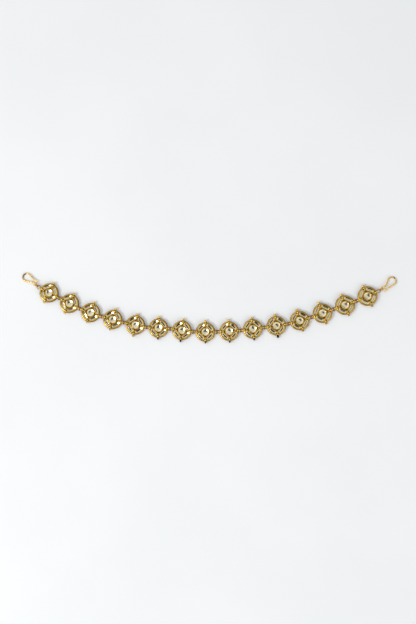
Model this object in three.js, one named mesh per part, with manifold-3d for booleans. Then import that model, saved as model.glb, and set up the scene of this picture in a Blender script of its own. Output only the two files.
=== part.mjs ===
// A matha patti: an ornament worn along the hairline, made of fifteen round gold cases set with stones,
// linked side by side with jump rings, with an open wire hook for the hair at each end.
// It lies flat on a surface in a shallow curve. Millimetres, +Z up, X along the row, Y across it.
// The origin is on the surface, below the middle of the ornament's bounding box.

import * as THREE from "three";
import { mergeVertices } from "three/addons/utils/BufferGeometryUtils.js";
import Module from "manifold-3d";

const wasm = await Module();
wasm.setup();

// The round case: a shallow pan with a thick rounded rim.
const CASE = {
  radius: 8.4,
  rimWidth: 1.3,
  rimTop: 3.0,
  rimShoulder: 1.9, // height where the rim's outer wall starts to round over
  backBevel: 0.6,
  bedTop: 1.4, // floor that the stones lie on
};

// The wall round the middle stone is a square on its corner, tied to the rim by four bars.
const FRAME = { halfWidth: 4.1, cornerRadius: 1.0, wellRadius: 3.45, barWidth: 1.0, top: 2.6 };

// The rose-cut middle stone.
const STONE = { radius: 3.2, base: 1.7, girdle: 1.95, starRadius: 1.85, starHeight: 2.84, apex: 3.17 };

// Small parts soldered round the rim. Each loop lies in a plane through the case's own radius.
const SHOT = { radius: 0.75, reach: 7.3, height: 2.82 };
const TOP_BALL = { radius: 1.25, reach: 9.35, height: 1.6 };
const CHAIN_EYE = { radius: 0.95, wire: 0.3, reach: 8.85 };
const DROP_LOOP = { radius: 0.8, wire: 0.32 };
const WIRE_HEIGHT = 1.5; // height of every eye and loop on a case, and of the first end link

// The links, and how far a case's centre is from the middle of the link beside it.
const LINK = { radius: 1.33, wire: 0.32, height: 1.42 };
const HALF_PITCH = 10.3;

// Two wider links join the last case at each end to its hook. Lean 0 is upright, and 90 is flat.
const END_LINK = { radius: 1.6, wire: 0.3, grip: 9.0, step: 2.28, toHook: 1.84 };

// The hair hook, in its own plane: +X from the middle of its eye, away from the row.
const HOOK = {
  wire: 0.475,
  eyeRadius: 1.15,
  eyeWire: 0.4,
  eyeHeight: 1.95,
  eyeLeg: [[1.1, 0.1], [3.4, 0.6], [5.9, 1.7]],
  bowRadius: 3.5,
  bowCentre: [10.2, 0.3],
  bowFrom: 122, // degrees round the bow, where the leg from the eye meets it
  bowTo: -95, // and where the free leg leaves it
  freeLeg: [[7.9, -3.1], [5.9, -2.75], [4.1, -2.45], [2.2, -2.5], [-0.2, -3.0]],
  droop: 5.7, // degrees that the hook slopes down, from its eye to where its bow lies on the surface
};

// How the ends lie, in degrees from the line of the last case: the links' line, and the hook's.
const ENDS = {
  left: { linkSwing: -10, hookSwing: -12.3, leans: [84, 12] },
  right: { linkSwing: 8, hookSwing: 12.7, leans: [-68, 22] },
};

// How the row lies: a case's own turn in degrees, how far its drop loop leans from upright, and how far
// the middle of that loop is from the case's centre. The loops were soldered on by hand.
const LAY = [
  { turn: -27.5, loopLean: 78, loopReach: 8.95 },
  { turn: -27, loopLean: 70, loopReach: 8.9 },
  { turn: -19.5, loopLean: 35, loopReach: 8.7 },
  { turn: -15, loopLean: 35, loopReach: 8.7 },
  { turn: -12, loopLean: 50, loopReach: 9.3 },
  { turn: -3, loopLean: 25, loopReach: 8.75 },
  { turn: -8, loopLean: 20, loopReach: 9.0 },
  { turn: 0, loopLean: 0, loopReach: 8.7 },
  { turn: 3.5, loopLean: 12, loopReach: 8.7 },
  { turn: 7.5, loopLean: 12, loopReach: 8.7 },
  { turn: 8, loopLean: -25, loopReach: 9.4 },
  { turn: 16.5, loopLean: -45, loopReach: 8.8 },
  { turn: 19.5, loopLean: -60, loopReach: 9.1 },
  { turn: 20, loopLean: -40, loopReach: 8.9 },
  { turn: 24, loopLean: -55, loopReach: 9.1 },
];

// Facets round each kind of piece. The balls also have their facets from pole to pole.
const FACETS = {
  case: 24,
  rim: 4,
  corner: 2, // round each corner of the square wall
  stone: 12,
  ball: [10, 7],
  shot: [6, 4],
  loop: 9,
  link: 14,
  wire: 5,
  hook: 6,
  hookLength: 36,
};

const BOW_POINTS = 8; // steps round the hook's bow
const MERGE_WITHIN = 1e-4; // points this near are one point

const GOLD = { color: 0xb8862e, roughness: 0.28, metalness: 1 };
const GLASS = { color: 0xe9e4d2, roughness: 0.08, metalness: 0 };

// --- solids ---------------------------------------------------------------------------------------

// A closed three.js geometry as a manifold-3d solid.
function solidOf(geometry) {
  const bare = geometry.clone();
  for (const name of Object.keys(bare.attributes)) {
    if (name !== "position") bare.deleteAttribute(name);
  }
  const merged = mergeVertices(bare, MERGE_WITHIN);
  return new wasm.Manifold(
    new wasm.Mesh({
      numProp: 3,
      vertProperties: new Float32Array(merged.attributes.position.array),
      triVerts: new Uint32Array(merged.index.array),
    }),
  );
}

// A manifold-3d solid as a three.js geometry.
function geometryOf(solid) {
  const mesh = solid.getMesh();
  const geometry = new THREE.BufferGeometry();
  geometry.setAttribute("position", new THREE.BufferAttribute(mesh.vertProperties, 3));
  geometry.setIndex(new THREE.BufferAttribute(mesh.triVerts, 1));
  geometry.computeVertexNormals();
  return geometry;
}

// Several closed geometries joined in one solid, less the ones to cut away.
function fuse(parts, cuts = []) {
  const joined = parts.map(solidOf).reduce((a, b) => a.add(b));
  return geometryOf(cuts.map(solidOf).reduce((a, b) => a.subtract(b), joined));
}

// A turned shape: [radius, height] points, from the axis at the bottom to the axis at the top.
function turned(profile, facets) {
  const points = profile.map(([r, z]) => new THREE.Vector2(r, z));
  return new THREE.LatheGeometry(points, facets).rotateX(Math.PI / 2);
}

// A wire ring that stands in the plane of X and Z.
function wireRing(radius, wire, facets) {
  return new THREE.TorusGeometry(radius, wire, FACETS.wire, facets).rotateX(Math.PI / 2);
}

// --- one case --------------------------------------------------------------------------------------

// The pan: a flat back, a bevelled edge, a rim rounded over as half an ellipse, and the bed inside it.
function casePan() {
  const { radius, rimWidth, rimTop, rimShoulder, backBevel, bedTop } = CASE;
  const rim = [];
  for (let i = 0; i <= FACETS.rim; i++) {
    const angle = (Math.PI * i) / FACETS.rim;
    const r = radius - (rimWidth / 2) * (1 - Math.cos(angle));
    rim.push([r, rimShoulder + (rimTop - rimShoulder) * Math.sin(angle)]);
  }
  const back = [[0, 0], [radius - backBevel, 0], [radius, backBevel]];
  return turned([...back, ...rim, [radius - rimWidth, bedTop], [0, bedTop]], FACETS.case);
}

// The outline of the square wall, turned on its corner, with rounded corners.
function squareOutline() {
  const { halfWidth, cornerRadius } = FRAME;
  const flat = halfWidth - cornerRadius;
  const outline = new THREE.Shape();
  for (let corner = 0; corner < 4; corner++) {
    const start = (corner * Math.PI) / 2 - Math.PI / 4;
    const turn = (corner * Math.PI) / 2;
    const reach = flat * Math.SQRT2;
    outline.absarc(reach * Math.cos(turn), reach * Math.sin(turn), cornerRadius, start, start + Math.PI / 2);
  }
  return outline.closePath();
}

// The square wall with its four bars, and the well for the middle stone cut out of it.
function innerFrame() {
  const sunk = 0.2; // how far the frame goes into the bed
  const intoRim = 0.3; // how far a bar goes into the rim
  const base = CASE.bedTop - sunk;
  const height = FRAME.top - base;
  const wall = { depth: height, bevelEnabled: false, curveSegments: FACETS.corner };
  const square = new THREE.ExtrudeGeometry(squareOutline(), wall).translate(0, 0, base);
  const length = 2 * (CASE.radius - CASE.rimWidth + intoRim);
  const middle = base + height / 2;
  const along = new THREE.BoxGeometry(length, FRAME.barWidth, height).translate(0, 0, middle);
  const across = new THREE.BoxGeometry(FRAME.barWidth, length, height).translate(0, 0, middle);
  const { wellRadius } = FRAME;
  const above = CASE.rimTop + 1; // clear above everything that the well is cut through
  const section = [[0, CASE.bedTop], [wellRadius, CASE.bedTop], [wellRadius, above], [0, above]];
  return fuse([square, along, across], [turned(section, FACETS.case)]);
}

// A little gold ball on the rim at each of the four bars.
function rimShot() {
  return [0, 1, 2, 3].map((quarter) =>
    new THREE.SphereGeometry(SHOT.radius, ...FACETS.shot)
      .rotateX(Math.PI / 2)
      .translate(SHOT.reach, 0, SHOT.height)
      .rotateZ((quarter * Math.PI) / 2),
  );
}

// The ball soldered against the top of the case.
function topBall() {
  return new THREE.SphereGeometry(TOP_BALL.radius, ...FACETS.ball)
    .rotateX(Math.PI / 2)
    .translate(0, TOP_BALL.reach, TOP_BALL.height);
}

// The two upright eyes that the links pass through, one on each side.
function chainEyes() {
  return [-1, 1].map((side) =>
    wireRing(CHAIN_EYE.radius, CHAIN_EYE.wire, FACETS.loop).translate(side * CHAIN_EYE.reach, 0, WIRE_HEIGHT),
  );
}

// The loop for a drop at the bottom of the case. At lean 0 it stands on edge, and at 90 it lies flat.
function dropLoop(lean, reach) {
  return wireRing(DROP_LOOP.radius, DROP_LOOP.wire, FACETS.loop)
    .rotateZ(Math.PI / 2)
    .rotateY(THREE.MathUtils.degToRad(lean))
    .translate(0, -reach, WIRE_HEIGHT);
}

// A whole case. Everything on it is soldered, so it is one solid.
function caseGeometry({ loopLean, loopReach }) {
  const loops = [...chainEyes(), dropLoop(loopLean, loopReach)];
  return fuse([casePan(), innerFrame(), ...rimShot(), topBall(), ...loops]);
}

// The rose-cut stone that stands in the middle well.
function stoneGeometry() {
  const { radius, base, girdle, starRadius, starHeight, apex } = STONE;
  const section = [[0, base], [radius, base], [radius, girdle], [starRadius, starHeight], [0, apex]];
  return turned(section, FACETS.stone);
}

// --- links and hooks --------------------------------------------------------------------------------

// A jump ring that lies flat.
function linkGeometry({ radius, wire }) {
  return new THREE.TorusGeometry(radius, wire, FACETS.wire, FACETS.link);
}

// The hook's centreline: out from the eye, round the bow and back along the free leg.
function hookLine() {
  const [x, y] = HOOK.bowCentre;
  const bow = [];
  for (let i = 0; i <= BOW_POINTS; i++) {
    const angle = THREE.MathUtils.degToRad(HOOK.bowFrom + ((HOOK.bowTo - HOOK.bowFrom) * i) / BOW_POINTS);
    bow.push([x + HOOK.bowRadius * Math.cos(angle), y + HOOK.bowRadius * Math.sin(angle)]);
  }
  const points = [...HOOK.eyeLeg, ...bow, ...HOOK.freeLeg].map(([u, v]) => new THREE.Vector3(u, v, 0));
  return new THREE.CatmullRomCurve3(points);
}

// The hook: an eye, and a wire bent in a bow whose free end stops beside the eye.
function hookGeometry() {
  const section = new THREE.Shape();
  for (let i = 0; i < FACETS.hook; i++) {
    const angle = (2 * Math.PI * i) / FACETS.hook;
    const point = [HOOK.wire * Math.cos(angle), HOOK.wire * Math.sin(angle)];
    if (i === 0) section.moveTo(...point);
    else section.lineTo(...point);
  }
  const wire = new THREE.ExtrudeGeometry(section, { steps: FACETS.hookLength, extrudePath: hookLine() });
  const eye = new THREE.TorusGeometry(HOOK.eyeRadius, HOOK.eyeWire, FACETS.wire, FACETS.loop);
  return fuse([wire, eye]);
}

// --- the row ----------------------------------------------------------------------------------------

const group = new THREE.Group();

function addMesh(name, geometry, material, place) {
  const mesh = new THREE.Mesh(geometry, new THREE.MeshStandardMaterial(material));
  mesh.name = name;
  mesh.position.set(place.x, place.y, place.z ?? 0);
  mesh.rotation.z = THREE.MathUtils.degToRad(place.turn);
  group.add(mesh);
  return mesh;
}

function stepAlong(from, turn, distance) {
  const angle = THREE.MathUtils.degToRad(turn);
  return { x: from.x + distance * Math.cos(angle), y: from.y + distance * Math.sin(angle) };
}

// A link, leaning about the line of the chain: upright at 0, flat at 90.
function addLink(name, ring, place, turn, lean = 90) {
  const mesh = addMesh(name, linkGeometry(ring), GOLD, { ...place, turn });
  mesh.rotation.order = "ZXY";
  mesh.rotation.x = THREE.MathUtils.degToRad(90 - lean);
}

// Two links and a hook, beyond the case at that end. "outward" is the direction away from the row.
function addEnd(side, centre, outward) {
  const { linkSwing, hookSwing, leans } = ENDS[side];
  const line = outward + linkSwing;
  const first = stepAlong(stepAlong(centre, outward, END_LINK.grip), line, END_LINK.radius);
  const second = stepAlong(first, line, END_LINK.step);
  addLink(`end_link_${side}_1`, END_LINK, { ...first, z: WIRE_HEIGHT }, line, leans[0]);
  addLink(`end_link_${side}_2`, END_LINK, { ...second, z: HOOK.eyeHeight }, line, leans[1]);
  const eye = stepAlong(second, line, END_LINK.toHook);
  const place = { ...eye, z: HOOK.eyeHeight, turn: outward + hookSwing };
  const hook = addMesh(`hook_${side}`, hookGeometry(), GOLD, place);
  hook.rotation.order = "ZYX";
  hook.rotation.y = THREE.MathUtils.degToRad(HOOK.droop);
}

// Walks along the row from its left end. Each case is joined to the next at the middle of a link.
let joint = { x: 0, y: 0 };
LAY.forEach((lay, i) => {
  const { turn } = lay;
  const number = String(i + 1).padStart(2, "0");
  const centre = stepAlong(joint, turn, HALF_PITCH);
  joint = stepAlong(centre, turn, HALF_PITCH);
  addMesh(`case_${number}`, caseGeometry(lay), GOLD, { ...centre, turn });
  addMesh(`centre_stone_${number}`, stoneGeometry(), GLASS, { ...centre, turn });
  if (i === 0) addEnd("left", centre, turn + 180);
  if (i === LAY.length - 1) addEnd("right", centre, turn);
  else addLink(`link_${number}`, LINK, { ...joint, z: LINK.height }, (turn + LAY[i + 1].turn) / 2);
});

// Moves the row so that its bounding box is centred over the origin.
const middle = new THREE.Box3().setFromObject(group, true).getCenter(new THREE.Vector3());
group.position.set(-middle.x, -middle.y, 0);

export default group;
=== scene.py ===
# %% [markdown]
# # A matha patti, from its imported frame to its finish
#
# A matha patti is worn along the hairline. This one is a row of fifteen round gold cases, each set
# with one round stone and four half-moon stones, joined by jump rings and ended by a wire hook on
# each side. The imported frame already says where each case, ring and hook lies. This lesson makes
# the fine version of each one in mesh code, gives it a finish, and lays it in the same place.

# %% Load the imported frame
import math
import random
import bmesh
import bpy
from mathutils import Matrix, Vector, noise


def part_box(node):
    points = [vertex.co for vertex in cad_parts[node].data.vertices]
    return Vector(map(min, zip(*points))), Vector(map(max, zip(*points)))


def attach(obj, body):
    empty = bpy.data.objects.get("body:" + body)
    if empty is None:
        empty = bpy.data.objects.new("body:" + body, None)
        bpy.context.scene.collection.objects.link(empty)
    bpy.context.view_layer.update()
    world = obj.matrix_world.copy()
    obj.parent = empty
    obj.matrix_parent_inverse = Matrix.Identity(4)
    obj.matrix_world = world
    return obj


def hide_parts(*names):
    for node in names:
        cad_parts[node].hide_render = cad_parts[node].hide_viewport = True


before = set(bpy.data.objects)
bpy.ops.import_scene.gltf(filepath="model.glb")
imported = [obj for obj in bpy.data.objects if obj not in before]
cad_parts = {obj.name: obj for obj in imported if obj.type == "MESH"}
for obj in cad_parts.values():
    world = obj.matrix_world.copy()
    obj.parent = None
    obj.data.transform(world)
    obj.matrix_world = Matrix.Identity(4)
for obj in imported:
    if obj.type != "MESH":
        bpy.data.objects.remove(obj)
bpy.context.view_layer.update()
print("nodes in the frame:", len(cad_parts))

# %% [markdown]
# ## The camera
#
# The ornament is laid out flat and seen from almost straight above, so its curve and both hooks are
# in view. A camera could be aimed with a tracking constraint, but one that looks down has no clear
# "up" then, so its three axes are written out: back from the row, right along the row, and up
# across it.

# %% Camera
CAMERA_DISTANCE = 0.8
CAMERA_LEAN = Vector((0.0698, -0.0648, 0.9955))
CAMERA_AIM = Vector((0.00115, -0.0038, 0.0))
CAMERA_ROLL = math.radians(0.14)
SENSOR = 36.0
LENS = 52.98


def aim_camera(place, target, roll):
    """A camera at one place that looks at another, with world Y up in its picture, less a small roll."""
    back = (place - target).normalized()
    up = Vector((-math.sin(roll), math.cos(roll), 0.0))
    right = up.cross(back).normalized()
    up = back.cross(right)
    turned = Matrix((right, up, back)).transposed().to_4x4()
    return Matrix.Translation(place) @ turned


camera = bpy.data.objects.new("camera", bpy.data.cameras.new("camera"))
bpy.context.scene.collection.objects.link(camera)
bpy.context.scene.camera = camera
camera.data.lens = LENS
camera.data.sensor_width = SENSOR
camera.data.clip_start = 0.01
camera_place = CAMERA_AIM + CAMERA_DISTANCE * CAMERA_LEAN.normalized()
camera.matrix_world = aim_camera(camera_place, CAMERA_AIM, CAMERA_ROLL)
bpy.context.scene.view_settings.view_transform = "Standard"
print("camera at", [round(value, 3) for value in camera.matrix_world.translation])

# %% [markdown]
# ## Helpers for node finishes
#
# Every finish here is worked out by shader nodes, with no pictures. Most of them need the same
# three things: a new material with its shader, a noise that reads places in metres, and a way to
# map one range to another. The noise reads the Object coordinates. Each mesh lies in its true
# place, so no two cases wear alike.

# %% Finish helpers
def new_finish(name):
    """A material with its node tree and its main shader."""
    finish = bpy.data.materials.new(name)
    finish.use_nodes = True
    return finish, finish.node_tree, finish.node_tree.nodes["Principled BSDF"]


def noise_of(tree, size, detail=3.0, roughness=0.5, stretch=None):
    """A noise whose lumps are about this many metres across."""
    coordinates = tree.nodes.new("ShaderNodeTexCoord")
    lumps = tree.nodes.new("ShaderNodeTexNoise")
    lumps.inputs["Scale"].default_value = 1.0 / size
    lumps.inputs["Detail"].default_value = detail
    lumps.inputs["Roughness"].default_value = roughness
    source = coordinates.outputs["Object"]
    if stretch:
        mapping = tree.nodes.new("ShaderNodeMapping")
        mapping.inputs["Scale"].default_value = stretch
        tree.links.new(source, mapping.inputs["Vector"])
        source = mapping.outputs["Vector"]
    tree.links.new(source, lumps.inputs["Vector"])
    return lumps.outputs["Fac"]


def mapped(tree, source, low, high, to_low, to_high):
    """One range of values mapped smoothly to another."""
    node = tree.nodes.new("ShaderNodeMapRange")
    node.interpolation_type = "SMOOTHSTEP"
    for name, value in zip(("From Min", "From Max", "To Min", "To Max"), (low, high, to_low, to_high)):
        node.inputs[name].default_value = value
    tree.links.new(source, node.inputs["Value"])
    return node.outputs["Result"]


def blended(tree, share, first, second, how="MIX"):
    """Two colours, or a colour and a socket, blended by a share."""
    node = tree.nodes.new("ShaderNodeMix")
    node.data_type = "RGBA"
    node.blend_type = how
    tree.links.new(share, node.inputs["Factor"])
    for socket, value in ((node.inputs[6], first), (node.inputs[7], second)):
        if isinstance(value, bpy.types.NodeSocket):
            tree.links.new(value, socket)
        else:
            socket.default_value = (*value, 1.0)
    return node.outputs[2]


def bumped(tree, height, depth, normal=None):
    """A bump whose full height is this many metres, on the surface's own normal or on another."""
    node = tree.nodes.new("ShaderNodeBump")
    node.inputs["Strength"].default_value = 1.0
    node.inputs["Distance"].default_value = depth
    tree.links.new(height, node.inputs["Height"])
    if normal:
        tree.links.new(normal, node.inputs["Normal"])
    return node.outputs["Normal"]


# %% [markdown]
# ## Floor and light
#
# Jewellery is laid on a white sweep. A small, bright softbox hangs to its left and makes the white
# flashes, and a large, weak one at the front right fills the shadows. Polished stones and gold show
# what is round them, so the room matters as much as the lights. It is a pale wall all round, with a
# dark crown overhead and a little to the front, where the camera and whoever holds it would be.
# Facets that mirror the crown go dark, and the others mirror the wall or a softbox. Dark cards
# could be hung up as objects, but a world worked out from the direction needs no objects and hides
# nothing from the camera.

# %% Floor
FLOOR_WIDTH = 8.0
FLOOR_DROP = 0.00005
FLOOR_WHITE = (0.90, 0.915, 0.93)
FLOOR_SHADE = (0.87, 0.89, 0.91)


def white_sweep():
    """The finish of the floor: matt white board with a very faint unevenness."""
    finish, tree, shader = new_finish("white_sweep")
    tone = mapped(tree, noise_of(tree, 0.15), 0.3, 0.7, 0.0, 1.0)
    tree.links.new(blended(tree, tone, FLOOR_SHADE, FLOOR_WHITE), shader.inputs["Base Color"])
    tree.links.new(mapped(tree, noise_of(tree, 0.002), 0.3, 0.7, 0.75, 0.9), shader.inputs["Roughness"])
    shader.inputs["Specular IOR Level"].default_value = 0.1
    return finish


half = FLOOR_WIDTH / 2
floor_mesh = bpy.data.meshes.new("floor")
floor_corners = [(x * half, y * half, -FLOOR_DROP) for x, y in ((-1, -1), (1, -1), (1, 1), (-1, 1))]
floor_mesh.from_pydata(floor_corners, [], [(0, 1, 2, 3)])
floor_mesh.materials.append(white_sweep())
floor = bpy.data.objects.new("floor", floor_mesh)
bpy.context.scene.collection.objects.link(floor)
print("floor", FLOOR_WIDTH, "m wide")

# %% Softboxes
SOFTBOXES = {
    "key": {"azimuth": 203, "height": 43, "distance": 1.3, "width": 0.56, "depth": 0.34, "watts": 5.3},
    "fill": {"azimuth": -40, "height": 28, "distance": 3.0, "width": 2.0, "depth": 1.0, "watts": 9.6},
}


def direction(azimuth, height):
    """A direction from the floor, its azimuth measured from +X and its height above the horizon."""
    level = math.cos(math.radians(height))
    turn = math.radians(azimuth)
    return Vector((level * math.cos(turn), level * math.sin(turn), math.sin(math.radians(height))))


def hang_softbox(name, azimuth, height, distance, width, depth, watts):
    """A rectangular light that faces the middle of the row."""
    lamp = bpy.data.lights.new(name, "AREA")
    lamp.shape = "RECTANGLE"
    lamp.size = width
    lamp.size_y = depth
    lamp.energy = watts
    softbox = bpy.data.objects.new(name, lamp)
    softbox.location = distance * direction(azimuth, height)
    softbox.rotation_mode = "QUATERNION"
    softbox.rotation_quaternion = softbox.location.to_track_quat("Z", "Y")
    bpy.context.scene.collection.objects.link(softbox)
    return softbox


for box_name, box_values in SOFTBOXES.items():
    print(box_name, "at", [round(v, 2) for v in hang_softbox(box_name, **box_values).location])

# %% Room
ROOM_STRENGTH = 1.68
FRONT_TONES = [(0.0, 0.45), (0.15, 0.40), (0.3, 0.42), (0.45, 0.62), (0.8, 0.58), (0.95, 0.50)]
LEFT_TONES = [(0.0, 0.45), (0.15, 0.5), (0.6, 0.58), (0.86, 0.54), (0.95, 0.48)]
RIGHT_TONES = [(0.0, 0.42), (0.12, 0.15), (0.5, 0.14), (0.75, 0.3), (0.86, 0.54), (0.95, 0.5)]
WALL_BLEND = 0.3
CROWN_MIDDLE = (-0.07, -0.2)
CROWN_REACH = (0.27, 0.42)
CROWN_EDGE = (0.6, 1.12)
CROWN_DARKNESS = 0.96
BLACK = (0.0, 0.0, 0.0)


def tone_by_height(tree, height, tones):
    """A grey that follows the height of a direction above the horizon."""
    ramp = tree.nodes.new("ShaderNodeValToRGB")
    stops = ramp.color_ramp.elements
    while len(stops) < len(tones):
        stops.new(1.0)
    for stop, (place, tone) in zip(stops, tones):
        stop.position = place
        stop.color = (tone, tone, 0.99 * tone, 1.0)
    tree.links.new(height, ramp.inputs["Fac"])
    return ramp.outputs["Color"]


def light_room():
    """The room by direction: a front wall, a left and a right back wall, and the dark crown overhead."""
    world = bpy.data.worlds.new("room")
    world.use_nodes = True
    bpy.context.scene.world = world
    tree = world.node_tree
    coordinates = tree.nodes.new("ShaderNodeTexCoord")
    split = tree.nodes.new("ShaderNodeSeparateXYZ")
    tree.links.new(coordinates.outputs["Generated"], split.inputs["Vector"])
    front = tone_by_height(tree, split.outputs["Z"], FRONT_TONES)
    left = tone_by_height(tree, split.outputs["Z"], LEFT_TONES)
    right = tone_by_height(tree, split.outputs["Z"], RIGHT_TONES)
    to_right = mapped(tree, split.outputs["X"], -WALL_BLEND, WALL_BLEND, 0.0, 1.0)
    to_back = mapped(tree, split.outputs["Y"], -WALL_BLEND, WALL_BLEND, 0.0, 1.0)
    walls = blended(tree, to_back, front, blended(tree, to_right, left, right))
    flattened = tree.nodes.new("ShaderNodeMapping")
    moved = [-middle / reach for middle, reach in zip(CROWN_MIDDLE, CROWN_REACH)]
    flattened.inputs["Location"].default_value = (*moved, 0.0)
    flattened.inputs["Scale"].default_value = (*(1.0 / reach for reach in CROWN_REACH), 0.0)
    tree.links.new(coordinates.outputs["Generated"], flattened.inputs["Vector"])
    away = tree.nodes.new("ShaderNodeVectorMath")
    away.operation = "LENGTH"
    tree.links.new(flattened.outputs["Vector"], away.inputs[0])
    crown = mapped(tree, away.outputs["Value"], *CROWN_EDGE, CROWN_DARKNESS, 0.0)
    background = tree.nodes["Background"]
    tree.links.new(blended(tree, crown, walls, BLACK), background.inputs["Color"])
    background.inputs["Strength"].default_value = ROOM_STRENGTH
    return world


light_room()
print("front wall's tones from the horizon up:", FRONT_TONES)

# %% [markdown]
# ## Gold and stone
#
# The metal is gold in a deep yellow, worn bright on its edges. A much darker gold paints in the
# shade of the recesses, a paler one paints highlights, and a near-black one paints shade on some
# loops. A single gold colour looks like plastic, so the colour drifts every two millimetres or so,
# the roughness varies within one, and a faint bump breaks up the highlights. Gold with one polish
# all over could be set on the shader alone, but six finishes made by one function tell the rim,
# the painted shade, wires, hooks, the painted highlight and the painted black loops apart. All six
# share their patches, and differ in colour and polish.

# %% Gold finishes
PATCH_SIZE = 0.0022
POLISH_SIZE = 0.0006
POLISH_SPREAD = (-0.07, 0.09)
DENT_SIZE = 0.0004
PALER = 1.2


def gold_finish(name, bright, deep, rough, dent=0.00002):
    """Gold: patches of deeper colour, paler worn edges, uneven polish and small dents."""
    finish, tree, shader = new_finish(name)
    patches = mapped(tree, noise_of(tree, PATCH_SIZE), 0.35, 0.68, 0.0, 0.75)
    colour = blended(tree, patches, bright, deep)
    shape = tree.nodes.new("ShaderNodeNewGeometry")
    worn = mapped(tree, shape.outputs["Pointiness"], 0.5, 0.58, 0.0, 0.5)
    pale = tuple(min(1.0, PALER * part) for part in bright)
    tree.links.new(blended(tree, worn, colour, pale), shader.inputs["Base Color"])
    shader.inputs["Metallic"].default_value = 1.0
    polish = noise_of(tree, POLISH_SIZE, detail=4.0)
    smoothest, roughest = (rough + part for part in POLISH_SPREAD)
    roughness = mapped(tree, polish, 0.3, 0.7, smoothest, roughest)
    tree.links.new(roughness, shader.inputs["Roughness"])
    tree.links.new(bumped(tree, noise_of(tree, DENT_SIZE, detail=2.0), dent), shader.inputs["Normal"])
    return finish


RIM_GOLD = gold_finish("rim_gold", bright=(0.66, 0.41, 0.066), deep=(0.30, 0.16, 0.018), rough=0.25)
# Painted shade: a much darker gold for the bed, the rim's flanks, the lips and the middles of the jump
# rings. It also paints a dark reflection on a stretch of each hook's bow.
PAINTED_DARK_GOLD = gold_finish("painted_dark_gold", (0.26, 0.14, 0.02), (0.09, 0.04, 0.006), 0.36, dent=0.00004)
WIRE_GOLD = gold_finish("wire_gold", (0.56, 0.28, 0.035), (0.28, 0.11, 0.012), 0.24)
HOOK_GOLD = gold_finish("hook_gold", (0.82, 0.55, 0.12), (0.36, 0.18, 0.025), 0.22)
# Painted shade: near-black gold for the upright drop loops, standing in for the shade and dark
# reflection on them.
PAINTED_BLACK_GOLD = gold_finish("painted_black_gold", (0.055, 0.025, 0.008), (0.02, 0.008, 0.003), 0.36)
# Painted highlight: a paler gold for the shot, the top ball, the eyes and their solder beads.
PAINTED_HIGHLIGHT_GOLD = gold_finish("painted_highlight_gold", (0.86, 0.60, 0.17), (0.66, 0.42, 0.09), 0.2)
GOLDS = (RIM_GOLD, PAINTED_DARK_GOLD, WIRE_GOLD, HOOK_GOLD, PAINTED_BLACK_GOLD, PAINTED_HIGHLIGHT_GOLD)
print("gold finishes:", [finish.name for finish in GOLDS])

# %% [markdown]
# ## Foiled stone
#
# Each stone has silver foil behind it. Light goes in through a facet and is bent, meets the foil,
# and comes out bent again, so a facet mirrors its surroundings as if the foil were tipped the other
# way by about half the facet's own slope. Glass over a real sheet of foil could do this, but it
# renders slowly and full of noise. Here each facet is a mirror with its normal tipped in that way,
# under a clear coat that keeps the facet's own slope.

# %% Stone finish
FACET_BEND = 0.5
CAST_SIZE = 0.0018
CLEAR_SIZE = 0.001
CRUMPLE_SIZE = 0.0012
CRUMPLE_DEPTH = 0.00002


def foil_normal(tree):
    """The way the foil seems to face: tipped the other way by a share of the facet's slope."""
    shape = tree.nodes.new("ShaderNodeNewGeometry")
    tipped = tree.nodes.new("ShaderNodeVectorMath")
    tipped.operation = "MULTIPLY"
    tipped.inputs[1].default_value = (-FACET_BEND, -FACET_BEND, 1.0)
    tree.links.new(shape.outputs["Normal"], tipped.inputs[0])
    unit = tree.nodes.new("ShaderNodeVectorMath")
    unit.operation = "NORMALIZE"
    tree.links.new(tipped.outputs["Vector"], unit.inputs[0])
    return unit.outputs["Vector"]


def foiled_stone(name, pale, warm):
    """A clear stone on foil: a mirror with a faint crumple and a warm cast, under a clear coat."""
    finish, tree, shader = new_finish(name)
    cast = mapped(tree, noise_of(tree, CAST_SIZE), 0.35, 0.65, 0.0, 1.0)
    tree.links.new(blended(tree, cast, pale, warm), shader.inputs["Base Color"])
    shader.inputs["Metallic"].default_value = 1.0
    roughness = mapped(tree, noise_of(tree, CLEAR_SIZE), 0.3, 0.7, 0.03, 0.08)
    tree.links.new(roughness, shader.inputs["Roughness"])
    crumple = noise_of(tree, CRUMPLE_SIZE, detail=1.0)
    foil = bumped(tree, crumple, CRUMPLE_DEPTH, foil_normal(tree))
    tree.links.new(foil, shader.inputs["Normal"])
    shader.inputs["Coat Weight"].default_value = 1.0
    shader.inputs["Coat Roughness"].default_value = 0.03
    shader.inputs["Coat IOR"].default_value = 1.6
    return finish


MIDDLE_STONE = foiled_stone("middle_stone", (0.86, 0.80, 0.60), (0.74, 0.64, 0.38))
SIDE_STONE = foiled_stone("side_stone", (0.78, 0.69, 0.42), (0.66, 0.53, 0.25))
print("stone finishes:", MIDDLE_STONE.name, SIDE_STONE.name)

# %% [markdown]
# ## Helpers for shapes
#
# All the gold work comes from two moves of the bench: a strip bent along an outline, and a wire
# bent along a path. Both are a row of rings of points, each joined to the next, so one helper skins
# them all. The shapes are worked out in millimetres round a case's own middle, and are laid in
# place only when they are finished.

# %% Shape helpers
MM = 0.001
TURN = 2.0 * math.pi
CAP_ANGLES = (0.5, 1.0, 1.4)


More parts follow.
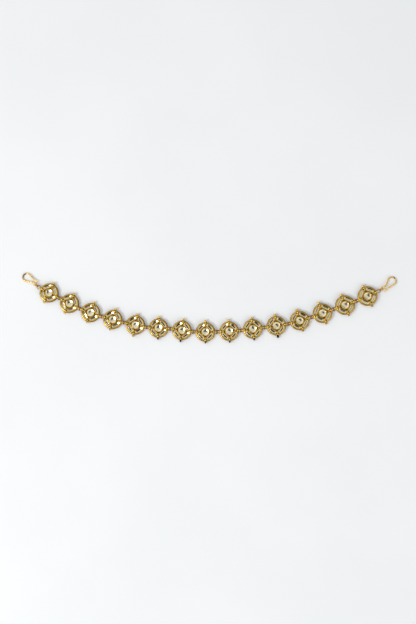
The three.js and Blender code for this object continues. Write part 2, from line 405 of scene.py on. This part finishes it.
def skin(bm, rings, finish=0, closed=False, capped=False, smooth=True):
    """Joins rings of points, each to the next, with four-sided faces."""
    rows = [[bm.verts.new(point) for point in ring] for ring in rings]
    pairs = list(zip(rows, rows[1:]))
    if closed:
        pairs.append((rows[-1], rows[0]))
    faces = []
    for low, high in pairs:
        for i in range(len(low)):
            j = (i + 1) % len(low)
            faces.append(bm.faces.new((low[i], low[j], high[j], high[i])))
    if capped:
        faces.append(bm.faces.new(rows[0]))
        faces.append(bm.faces.new(rows[-1]))
    for face in faces:
        face.material_index = finish
        face.smooth = smooth
    return faces


def strip_round(bm, outline, profile, finish=0):
    """A strip bent along a closed outline. Its profile is (outward, height) points round its section."""
    rings = []
    for spot, outward in outline:
        rings.append([spot + outward * out + Vector((0.0, 0.0, height)) for out, height in profile])
    return skin(bm, rings, finish, closed=True)


def wire_along(bm, path, radius, sides=12, closed=False, finish=0):
    """A round wire bent along a path. An open wire gets rounded ends."""
    points = list(path)
    sizes = [radius] * len(points)
    if not closed:
        for end, inner in ((0, 1), (-1, -2)):
            away = (points[end] - points[inner]).normalized()
            tip = points[end]
            for angle in CAP_ANGLES:
                place = 0 if end == 0 else len(points)
                points.insert(place, tip + away * radius * math.sin(angle))
                sizes.insert(place, radius * math.cos(angle))
    rings = []
    angles = [TURN * k / sides for k in range(sides)]
    side = (points[1] - points[0]).orthogonal()
    for i, spot in enumerate(points):
        before = points[i - 1] if closed or i else spot
        after = points[(i + 1) % len(points)] if closed or i + 1 < len(points) else spot
        ahead = (after - before).normalized()
        side = (side - ahead * side.dot(ahead)).normalized()
        across = ahead.cross(side)
        rings.append([spot + sizes[i] * (side * math.cos(a) + across * math.sin(a)) for a in angles])
    return skin(bm, rings, finish, closed=closed, capped=not closed)


def bead(bm, middle, radius, around=16, up=10, finish=0):
    """A small ball, made of rings from its bottom to its top."""
    rings = []
    angles = [TURN * k / around for k in range(around)]
    for row in range(1, up):
        tilt = math.pi * row / up
        level = radius * math.sin(tilt)
        height = -radius * math.cos(tilt)
        ring = [Vector((level * math.cos(a), level * math.sin(a), height)) for a in angles]
        rings.append([middle + point for point in ring])
    return skin(bm, rings, finish, capped=True)


def circle(radius, count, plane="XY", middle=Vector()):
    """Points round a circle that lies in one of the three planes."""
    first, second = ("XYZ".index(letter) for letter in plane)
    points = []
    for k in range(count):
        point = Vector((0.0, 0.0, 0.0))
        point[first] = radius * math.cos(TURN * k / count)
        point[second] = radius * math.sin(TURN * k / count)
        points.append(middle + point)
    return points


def round_outline(radius, count):
    """A circle as (spot, outward) pairs for strip_round."""
    return [(point, point.normalized()) for point in circle(radius, count)]


print("shape helpers ready")

# %% [markdown]
# ## Laying a shape in its place
#
# A shape is finished when its faces point outward, its hand-made wobble is in and it lies where the
# frame says. Modifiers could do the wobble, but a seeded noise on the points themselves gives the
# same result each run.

# %% Laying helpers
SEED = 7
rng = random.Random(SEED)
noise.seed_set(SEED)
made = []


def hand_wobble(bm, size, amount, shift):
    """Moves each point a little, as hammer and file do, and keeps it above the floor."""
    for vert in bm.verts:
        vert.co += amount * noise.noise_vector(vert.co / size + shift)
        vert.co.z = max(0.0, vert.co.z)


def lay_piece(bm, name, placing, finishes, node=None, crease=38.0):
    """Turns a finished shape into a piece that rides on the frame and stands for its CAD node."""
    bmesh.ops.recalc_face_normals(bm, faces=bm.faces)
    bm.transform(placing @ Matrix.Scale(MM, 4))
    mesh = bpy.data.meshes.new(name)
    bm.to_mesh(mesh)
    bm.free()
    mesh.set_sharp_from_angle(angle=math.radians(crease))
    for finish in finishes:
        mesh.materials.append(finish)
    piece = bpy.data.objects.new(name, mesh)
    bpy.context.scene.collection.objects.link(piece)
    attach(piece, "root")
    if node:
        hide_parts(node)
    made.append(piece)
    return piece


def middle_of(node):
    """The middle of a CAD node's box."""
    low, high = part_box(node)
    return (low + high) / 2


print("seed", SEED)

# %% [markdown]
# ## Where each case lies
#
# A case's middle is its centre stone's. The rings on both sides of it lie on one line with that
# middle, so the direction from one ring to the next is the way the case is turned. The first and
# last case have one ring.

# %% Places of the cases
CASE_COUNT = sum(1 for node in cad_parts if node.startswith("centre_stone_"))


def case_places():
    """Each case's number, middle and turn."""
    places = []
    for number in range(1, CASE_COUNT + 1):
        middle = middle_of(f"centre_stone_{number:02d}")
        middle.z = 0.0
        left = middle_of(f"link_{number - 1:02d}") if number > 1 else middle
        right = middle_of(f"link_{number:02d}") if number < CASE_COUNT else middle
        along = right - left
        places.append((number, middle, math.atan2(along.y, along.x)))
    return places


PLACES = case_places()
print("turns in degrees:", [round(math.degrees(turn), 1) for _, _, turn in PLACES])

# %% [markdown]
# ## The case
#
# The case is a shallow pan with a thick rounded rim. In its middle a round collar holds the large
# stone, and round that stands a square wall on its corner, tied to the rim by four bars. All sizes
# are in millimetres. The rim could be a torus on a disc. Here one profile is turned round the
# middle, as in spinning metal, because it lets the rim roll up slowly from outside to a crest near
# its inner edge, and drop steeply to the bed.

# %% Pan and rim
CASE = {"radius": 8.4, "rim_width": 1.3, "rim_top": 3.0, "shoulder": 1.9, "bevel": 0.6, "bed": 1.4}
HEEL = {"in": 0.18, "height": 0.2}
CREST = 1.0
RIM_STEPS = 10
ROUND_STEPS = 72


def add_pan(bm):
    """The back plate, the rim rolled up to a crest near its inner edge, and the sunk bed."""
    rim = []
    for step in range(RIM_STEPS + 1):
        angle = math.pi * step / RIM_STEPS
        reach = CREST if step <= RIM_STEPS // 2 else CASE["rim_width"] - CREST
        out = CASE["radius"] - CREST + reach * math.cos(angle)
        rim.append((out, CASE["shoulder"] + (CASE["rim_top"] - CASE["shoulder"]) * math.sin(angle)))
    outside = [
        (CASE["radius"] - CASE["bevel"], 0.0),
        (CASE["radius"] - HEEL["in"], HEEL["height"]),
        (CASE["radius"], CASE["bevel"]),
    ]
    profile = [*outside, *rim, (CASE["radius"] - CASE["rim_width"], CASE["bed"])]
    angles = [TURN * k / ROUND_STEPS for k in range(ROUND_STEPS)]
    rings = [[Vector((out * math.cos(a), out * math.sin(a), z)) for a in angles] for out, z in profile]
    skin(bm, rings, capped=True)


print("pan", 2 * CASE["radius"], "mm across, its rim", CASE["rim_width"], "mm wide")

# %% [markdown]
# ## Which finish goes where on a case
#
# A case shows four finishes. The polished rim and wall are bright. The shot, ball and eyes get a
# paler gold, a painted highlight. The bed and the rim's flanks get a much darker gold, painted shade
# for the recesses and the rim's dark edges. Some drop loops get a near-black gold, painted shade and
# dark reflection. Each face keeps the number of its finish, so one mesh carries them all.

# %% Finishes of a case
CASE_FINISHES = [RIM_GOLD, PAINTED_DARK_GOLD, PAINTED_BLACK_GOLD, PAINTED_HIGHLIGHT_GOLD]
RIM, PAINTED_DARK, PAINTED_BLACK, PAINTED_HIGHLIGHT = range(len(CASE_FINISHES))
PAINTED_DARK_ABOVE = 1.0
FLANK = 0.36
INNER_FLANK = 0.14


def colour_bed(bm):
    """Paints shade on the bed and on the rim's flanks, on both sides of its polished crest, with the
    darker gold.
    """
    outer = CASE["radius"] - FLANK
    inner = CASE["radius"] - CASE["rim_width"] + INNER_FLANK
    for face in bm.faces:
        middle = face.calc_center_median()
        if middle.z > PAINTED_DARK_ABOVE and not inner < math.hypot(middle.x, middle.y) < outer:
            face.material_index = PAINTED_DARK


print("finishes of a case:", [finish.name for finish in CASE_FINISHES])

# %% Collar, wall and bars
WALL = {"half_width": 4.1, "corner": 1.0, "thickness": 0.6, "top": 2.6}
COLLAR = {"inner": 3.1, "outer": 3.5, "top": 2.62, "steps": 48}
BAR = {"width": 1.0, "from": 4.85, "to": 7.3, "top": 2.5, "steps": 4}
CORNER_STEPS = 6
SIDE_STEPS = 8
TOP_STEPS = 6
TOP_ROUNDING = 0.8
SINK = 0.3


def square_outline():
    """The middle line of a square wall on its corner, with rounded corners."""
    outline = []
    middle_line = WALL["half_width"] - WALL["thickness"] / 2
    corner = WALL["corner"] - WALL["thickness"] / 2
    reach = (middle_line - corner) * math.sqrt(2.0)
    for quarter in range(4):
        turn = quarter * math.pi / 2
        hub = Vector((reach * math.cos(turn), reach * math.sin(turn), 0.0))
        for step in range(CORNER_STEPS + 1):
            angle = turn + math.pi / 4 * (2 * step / CORNER_STEPS - 1.0)
            outward = Vector((math.cos(angle), math.sin(angle), 0.0))
            outline.append((hub + outward * corner, outward))
        ahead = Vector((-outward.y, outward.x, 0.0))
        length = 2 * (middle_line - corner)
        for _ in range(1, SIDE_STEPS):
            outline.append((outline[-1][0] + ahead * length / SIDE_STEPS, outward))
    return outline


def rounded_top(half_width, top):
    """A strip's section: straight sides up from a little below the bed, and a rounded top edge."""
    section = [(half_width, CASE["bed"] - SINK)]
    for step in range(TOP_STEPS + 1):
        angle = math.pi * step / TOP_STEPS
        drop = half_width * TOP_ROUNDING * (1.0 - math.sin(angle))
        section.append((half_width * math.cos(angle), top - drop))
    section.append((-half_width, CASE["bed"] - SINK))
    return section


def add_wall(bm):
    """The square wall, and the round collar that is pressed over the stone's edge."""
    strip_round(bm, square_outline(), rounded_top(WALL["thickness"] / 2, WALL["top"]))
    width = COLLAR["outer"] - COLLAR["inner"]
    outline = round_outline((COLLAR["outer"] + COLLAR["inner"]) / 2, COLLAR["steps"])
    strip_round(bm, outline, rounded_top(width / 2, COLLAR["top"]))


def add_bars(bm):
    """Four bars from the corners of the wall to the rim."""
    section = rounded_top(BAR["width"] / 2, BAR["top"])
    steps = [BAR["from"] + (BAR["to"] - BAR["from"]) * k / BAR["steps"] for k in range(BAR["steps"] + 1)]
    for quarter in range(4):
        turned = Matrix.Rotation(quarter * math.pi / 2, 3, "Z")
        rings = []
        for reach in steps:
            rings.append([turned @ Vector((reach, across, height)) for across, height in section])
        skin(bm, rings, capped=True)


print("wall", 2 * WALL["half_width"], "mm across its flats, collar", 2 * COLLAR["inner"], "mm inside")

# %% [markdown]
# ## Small parts on the rim
#
# Four little balls of shot sit where the bars meet the rim. A larger ball is soldered on top. Two
# upright eyes carry the jump rings, each with a bead of solder at its foot, and a loop at the
# bottom is for a drop. Each case's loop was soldered on and bent by hand, so it has its own lean
# and reach, and a table gives them.

# %% Shot, ball, eyes and loop
SHOT = {"radius": 0.75, "reach": 7.3, "height": 2.82}
TOP_BALL = {"radius": 1.25, "reach": 9.35, "height": 1.6}
SOLDER = {"radius": 0.8, "reach": 8.45}
EYE = {"radius": 0.98, "wire": 0.4, "reach": 8.85}
DROP_LOOP = {"radius": 0.8, "wire": 0.45, "painted_black_wire": 0.6}
# Cases whose drop loop gets thicker wire in the near-black gold: painted shade and dark reflection.
PAINTED_BLACK_LOOPS = range(6, 12)
LOOP_LEANS = [78, 70, 35, 35, 50, 25, 20, 0, 12, 12, -25, -45, -60, -40, -55]
LOOP_REACHES = [8.95, 8.9, 8.7, 8.7, 9.3, 8.75, 9.0, 8.7, 8.7, 8.7, 9.4, 8.8, 9.1, 8.9, 9.1]
WIRE_HEIGHT = 1.5


def add_small_parts(bm, lean, reach, painted_black):
    """The shot, the top ball, the two eyes with their solder, and the drop loop at its lean."""
    # The shot, the top ball, the eyes and the solder take the paler gold: a painted highlight.
    for quarter in range(4):
        turned = Matrix.Rotation(quarter * math.pi / 2, 3, "Z")
        bead(bm, turned @ Vector((SHOT["reach"], 0.0, SHOT["height"])), SHOT["radius"], finish=PAINTED_HIGHLIGHT)
    top = Vector((0.0, TOP_BALL["reach"], TOP_BALL["height"]))
    bead(bm, top, TOP_BALL["radius"], around=24, up=14, finish=PAINTED_HIGHLIGHT)
    for side in (-1, 1):
        hub = Vector((side * EYE["reach"], 0.0, WIRE_HEIGHT))
        wire_along(bm, circle(EYE["radius"], 24, "XZ", hub), EYE["wire"], closed=True, finish=PAINTED_HIGHLIGHT)
        bead(bm, Vector((side * SOLDER["reach"], 0.0, WIRE_HEIGHT)), SOLDER["radius"], finish=PAINTED_HIGHLIGHT)
    tipped = Matrix.Rotation(math.radians(lean), 3, "Y")
    hub = Vector((0.0, -reach, WIRE_HEIGHT))
    path = [hub + tipped @ point for point in circle(DROP_LOOP["radius"], 24, "YZ")]
    # The loops of those cases are drawn thicker and near black: painted shade and dark reflection.
    wire = DROP_LOOP["painted_black_wire"] if painted_black else DROP_LOOP["wire"]
    wire_along(bm, path, wire, closed=True, finish=PAINTED_BLACK if painted_black else RIM)


print("drop loops lean by", LOOP_LEANS)

# %% [markdown]
# ## The stones
#
# The middle stone is rose cut: a flat back, and a low dome of six star facets with eighteen facets
# below them. The side stones are half-moons, each with a flat table and sloped edges that fall away
# lower at the two ends. A cut could be made by slicing a block with planes, but here the corners
# are placed ring by ring and joined, which gives each facet its slope directly. Facets stay flat,
# because it is their hard change of angle that makes a cut stone flash. Each is cut and set by
# hand, so no two are the same.

# %% Middle stone
ROSE = {"radius": 3.2, "base": 1.6, "girdle": 1.9, "star_radius": 1.85, "star": 2.84, "apex": 3.17}
ROSE_SIDES = 12
STAR_SIDES = 6
GIRDLE_SLACK = 0.04
STAR_SLACK = 0.07
APEX_SLACK = 0.15
SETTING_TURN = 0.12


def cut_rose(bm, luck, turn):
    """A rose-cut stone, set at its own turn: six star facets, eighteen below, and a plain girdle."""
    def ring(radius, height, count, slack):
        corners = []
        for k in range(count):
            angle = TURN * k / count + turn
            out = radius + luck.uniform(-slack, slack)
            rise = height + luck.uniform(-slack, slack)
            corners.append(bm.verts.new((out * math.cos(angle), out * math.sin(angle), rise)))
        return corners

    base = ring(ROSE["radius"], ROSE["base"], ROSE_SIDES, 0.0)
    girdle = ring(ROSE["radius"], ROSE["girdle"], ROSE_SIDES, GIRDLE_SLACK)
    star = ring(ROSE["star_radius"], ROSE["star"], STAR_SIDES, STAR_SLACK)
    off_centre = [luck.uniform(-APEX_SLACK, APEX_SLACK) for _ in range(2)]
    apex = bm.verts.new((*off_centre, ROSE["apex"]))
    for k in range(ROSE_SIDES):
        bm.faces.new((base[k], base[(k + 1) % ROSE_SIDES], girdle[(k + 1) % ROSE_SIDES], girdle[k]))
    for k in range(STAR_SIDES):
        here, ahead = star[k], star[(k + 1) % STAR_SIDES]
        before, at, after = girdle[2 * k - 1], girdle[2 * k], girdle[2 * k + 1]
        bm.faces.new((apex, here, ahead))
        bm.faces.new((here, after, ahead))
        bm.faces.new((here, at, after))
        bm.faces.new((here, before, at))
    bm.faces.new(base)


print("middle stone", 2 * ROSE["radius"], "mm across")

# %% Side stones and their lips
MOON = {
    "inner": 4.3,
    "outer": 7.08,
    "corner": 3.65,
    "reach": 33.5,
    "base": 1.42,
    "girdle": 2.12,
    "end_girdle": 1.5,
    "table": 2.48,
}
MOON_TABLE = {"start": 5.04, "depth": 0.41, "length": 0.64, "pivot": 5.44, "tilt": 1.6}
ARC_STEPS = 8
WALL_SHARES = (1.0, 0.8, 0.27, -0.27, -0.8, -1.0)
MOON_CORNERS = (0, ARC_STEPS, ARC_STEPS + 1, ARC_STEPS + len(WALL_SHARES))
LIP = {"width": 0.4, "top": 2.3, "out": 0.1}


def moon_outline():
    """A half-moon's outline: straight along the wall, cut off at the bars, round along the rim."""
    reach = math.radians(MOON["reach"])
    arc = [reach * (2 * k / ARC_STEPS - 1) for k in range(ARC_STEPS + 1)]
    rim_side = [Vector((MOON["outer"] * math.cos(a), MOON["outer"] * math.sin(a), 0.0)) for a in arc]
    wall_side = [Vector((MOON["inner"], MOON["corner"] * share, 0.0)) for share in WALL_SHARES]
    return rim_side + wall_side


def cut_moon(bm, luck, quarter):
    """A half-moon stone between the wall and the rim. No two have their tables quite level."""
    tilt = MOON_TABLE["tilt"]
    lean = Matrix.Rotation(math.radians(luck.uniform(-tilt, tilt)), 3, "X")
    lean = lean @ Matrix.Rotation(math.radians(luck.uniform(-tilt, tilt)), 3, "Y")
    turned = Matrix.Rotation(math.pi / 4 + quarter * math.pi / 2, 3, "Z")
    pivot = Vector((MOON_TABLE["pivot"], 0.0, 0.0))
    low, girdle, table = [], [], []
    for k, point in enumerate(moon_outline()):
        out = MOON_TABLE["start"] + (point.x - MOON["inner"]) * MOON_TABLE["depth"]
        flat = Vector((out, point.y * MOON_TABLE["length"], 0.0)) - pivot
        edge = MOON["end_girdle"] if k in MOON_CORNERS else MOON["girdle"]
        low.append(turned @ (point + Vector((0.0, 0.0, MOON["base"]))))
        girdle.append(turned @ (point + Vector((0.0, 0.0, edge))))
        table.append(turned @ (pivot + lean @ flat + Vector((0.0, 0.0, MOON["table"]))))
    skin(bm, [low, girdle, table], capped=True, smooth=False)


def add_lips(bm):
    """The gold pressed up round each half-moon stone, in the darker gold: painted shade round the stone.
    """
    outline = moon_outline()
    count = len(outline)
    pairs = []
    for k, point in enumerate(outline):
        along = (outline[(k + 1) % count] - outline[k - 1]).normalized()
        pairs.append((point, Vector((along.y, -along.x, 0.0))))
    section = rounded_top(LIP["width"] / 2, LIP["top"])
    for quarter in range(4):
        turned = Matrix.Rotation(math.pi / 4 + quarter * math.pi / 2, 3, "Z")
        placed = [(turned @ (spot + LIP["out"] * outward), turned @ outward) for spot, outward in pairs]
        strip_round(bm, placed, section, finish=PAINTED_DARK)


print("half-moon stones reach from", MOON["inner"], "to", MOON["outer"], "mm")

# %% [markdown]
# ## Fifteen cases
#
# The fifteen cases could be copies of one mesh. Each is made anew instead, with its own wobble, its
# own drop loop and its own luck in the cutting, because hand work shows in small differences along
# a row.

# %% Fifteen cases
WOBBLE = {"size": 1.6, "amount": 0.05, "apart": 3.0}
EVERY_EDGE = 1.0

for number, middle, turn in PLACES:
    placing = Matrix.Translation(middle) @ Matrix.Rotation(turn, 4, "Z")
    shift = Vector((0.0, WOBBLE["apart"] * number, 0.0))
    gold = bmesh.new()
    add_pan(gold)
    colour_bed(gold)
    add_wall(gold)
    add_bars(gold)
    add_lips(gold)
    add_small_parts(gold, LOOP_LEANS[number - 1], LOOP_REACHES[number - 1], number in PAINTED_BLACK_LOOPS)
    hand_wobble(gold, WOBBLE["size"], WOBBLE["amount"], shift)
    lay_piece(gold, f"case_gold_{number:02d}", placing, CASE_FINISHES, f"case_{number:02d}")
    rose = bmesh.new()
    cut_rose(rose, rng, rng.uniform(-SETTING_TURN, SETTING_TURN))
    node = f"centre_stone_{number:02d}"
    lay_piece(rose, f"middle_stone_{number:02d}", placing, [MIDDLE_STONE], node, EVERY_EDGE)
    moons = bmesh.new()
    for quarter in range(4):
        cut_moon(moons, rng, quarter)
    lay_piece(moons, f"side_stones_{number:02d}", placing, [SIDE_STONE], crease=EVERY_EDGE)

print("pieces so far:", len(made), "faces in one case:", len(made[0].data.polygons))

# %% [markdown]
# ## Jump rings
#
# A jump ring is a turn of wire, sprung open to pass through two eyes and closed again. A plain
# torus would have no joint, so each ring here is a wire whose two ends meet at a fine seam. These
# rings are of thick wire, drawn oval so that they hang free in both eyes. The stretch of each ring
# between its two eyes gets the darker gold: painted shade for the shadowed gap between two cases.

# %% Jump rings between the cases
RING = {"half_width": 1.15, "wire": 0.5, "shaded_reach": 0.75}
RING_STEPS = 36
SEAM = math.radians(2.0)


def ring_path(radius, seam_at):
    """Points round a ring that stops short of a full turn by its seam."""
    span = TURN - 2 * SEAM
    angles = [seam_at + SEAM + span * k / RING_STEPS for k in range(RING_STEPS + 1)]
    return [Vector((radius * math.cos(a), radius * math.sin(a), 0.0)) for a in angles]


def paint_ring_middle_shade(bm, reach):
    """Paints shade on the stretches of a ring that lie between its two eyes, with the darker gold."""
    for face in bm.faces:
        if abs(face.calc_center_median().x) < reach:
            face.material_index = PAINTED_DARK


def eye_middle(place, side):
    """The middle of a case's left (-1) or right (1) eye."""
    _, middle, turn = place
    return middle + Matrix.Rotation(turn, 3, "Z") @ Vector((side * EYE["reach"], 0.0, WIRE_HEIGHT)) * MM


spans = []
for number in range(1, CASE_COUNT):
    node = f"link_{number:02d}"
    here = eye_middle(PLACES[number - 1], 1)
    line = eye_middle(PLACES[number], -1) - here
    stretch = line.length / 2 / MM / RING["half_width"]
    even = ring_path(RING["half_width"], rng.uniform(0.0, TURN))
    oval = [Vector((point.x * stretch, point.y, 0.0)) for point in even]
    ring = bmesh.new()
    wire_along(ring, oval, RING["wire"])
    paint_ring_middle_shade(ring, RING["shaded_reach"])
    placing = Matrix.Translation(here + line / 2) @ Matrix.Rotation(math.atan2(line.y, line.x), 4, "Z")
    lay_piece(ring, f"jump_ring_{number:02d}", placing, [WIRE_GOLD, PAINTED_DARK_GOLD], node)
    spans.append(round(line.length / MM, 2))

print(len(spans), "jump rings, between eyes that are", min(spans), "to", max(spans), "mm apart")

# %% [markdown]
# ## End rings and hooks
#
# Two wider rings lead from the last case to the hair hook, each caught at its own angle. The hook
# is one wire: an eye, a leg, a wide bow, and a free leg that springs back beside the eye so that it
# can grip the hair. It could be a curve object with a bevel. Here it is a mesh along a smooth line,
# as the other wires are, so that a stretch of the bow can have the darker gold: a painted dark
# reflection of the dark crown overhead.

# %% End rings
END_RING = {"radius": 1.6, "wire": 0.3, "to_hook": 1.84}
ENDS = {
    "left": {"case": 1, "outward": 180.0, "hook_swing": -12.3, "leans": (84.0, 12.0)},
    "right": {"case": CASE_COUNT, "outward": 0.0, "hook_swing": 12.7, "leans": (-68.0, 22.0)},
}


def end_line(side):
    """The direction from the first end ring to the second, as an angle."""
    step = middle_of(f"end_link_{side}_2") - middle_of(f"end_link_{side}_1")
    return math.atan2(step.y, step.x)


for side, end in ENDS.items():
    for order, lean in enumerate(end["leans"], start=1):
        node = f"end_link_{side}_{order}"
        tipped = Matrix.Rotation(math.radians(90.0 - lean), 4, "X")
        turned = Matrix.Rotation(end_line(side), 4, "Z") @ tipped
        ring = bmesh.new()
        wire_along(ring, ring_path(END_RING["radius"], rng.uniform(0.0, TURN)), END_RING["wire"])
        placing = Matrix.Translation(middle_of(node)) @ turned
        lay_piece(ring, f"end_ring_{side}_{order}", placing, [WIRE_GOLD], node)
    print(side, "end rings run at", round(math.degrees(end_line(side)), 1), "degrees")

# %% Hair hooks
HOOK = {
    "wire": 0.53,
    "eye_radius": 1.15,
    "eye_wire": 0.4,
    "eye_height": 1.95,
    "eye_leg": [(1.1, 0.1), (3.4, 0.6), (5.9, 1.7)],
    "bow_radius": 3.5,
    "bow_centre": (10.2, 0.3),
    "bow_from": 122.0,
    "bow_to": -95.0,
    "free_leg": [(7.9, -3.1), (5.9, -2.75), (4.1, -2.45), (2.2, -2.5), (-0.2, -3.0)],
    "droop": 5.7,
}
# Arcs of each bow, in degrees round its middle, that get the darker gold: a painted dark reflection.
DARK_REFLECTION_ARCS = {"left": (-40.0, 45.0), "right": (5.0, 32.0)}
BOW_STEPS = 8
BOW_MARGIN = 1.0
EYE_STEPS = 28


def darken_bow(bm, arc):
    """Gives the darker gold to a stretch of the bow: a painted dark reflection."""
    centre = Vector((*HOOK["bow_centre"], 0.0))
    start, end = arc
    for face in bm.faces:
        away = face.calc_center_median() - centre
        in_dark_arc = start < math.degrees(math.atan2(away.y, away.x)) < end
        if in_dark_arc and away.length < HOOK["bow_radius"] + BOW_MARGIN:
            face.material_index = PAINTED_DARK


def smooth_line(points, steps=8):
    """A smooth line through every point, as a draughtsman's spline gives."""
    ends = [2 * points[0] - points[1], *points, 2 * points[-1] - points[-2]]
    line = []
    for a, b, c, d in zip(ends, ends[1:], ends[2:], ends[3:]):
        for k in range(steps):
            t = k / steps
            pull = (2 * a - 5 * b + 4 * c - d) * t * t + (3 * b - a - 3 * c + d) * t * t * t
            line.append(b + ((c - a) * t + pull) / 2)
    return [*line, points[-1]]


def hook_line():
    """The hook's middle line: out from the eye, round the bow and back along the free leg."""
    x, y = HOOK["bow_centre"]
    bow = []
    for step in range(BOW_STEPS + 1):
        angle = math.radians(HOOK["bow_from"] + (HOOK["bow_to"] - HOOK["bow_from"]) * step / BOW_STEPS)
        bow.append((x + HOOK["bow_radius"] * math.cos(angle), y + HOOK["bow_radius"] * math.sin(angle)))
    points = [*HOOK["eye_leg"], *bow, *HOOK["free_leg"]]
    return smooth_line([Vector((x, y, 0.0)) for x, y in points])


for side, end in ENDS.items():
    line = end_line(side)
    eye = middle_of(f"end_link_{side}_2")
    eye += END_RING["to_hook"] * MM * Vector((math.cos(line), math.sin(line), 0.0))
    eye.z = HOOK["eye_height"] * MM
    outward = PLACES[end["case"] - 1][2] + math.radians(end["outward"] + end["hook_swing"])
    droop = Matrix.Rotation(math.radians(HOOK["droop"]), 4, "Y")
    placing = Matrix.Translation(eye) @ Matrix.Rotation(outward, 4, "Z") @ droop
    hook = bmesh.new()
    wire_along(hook, hook_line(), HOOK["wire"])
    darken_bow(hook, DARK_REFLECTION_ARCS[side])
    wire_along(hook, circle(HOOK["eye_radius"], EYE_STEPS), HOOK["eye_wire"], closed=True)
    lay_piece(hook, f"hair_hook_{side}", placing, [HOOK_GOLD, PAINTED_DARK_GOLD], f"hook_{side}")
    print(side, "hook's eye at", [round(1000 * value, 1) for value in eye])

# %% [markdown]
# ## Triangle count
#
# The triangles of all the new pieces are counted and printed. The fine model must keep to the
# size of the imported one.


print("triangles:", sum(len(p.vertices) - 2 for piece in made for p in piece.data.polygons))
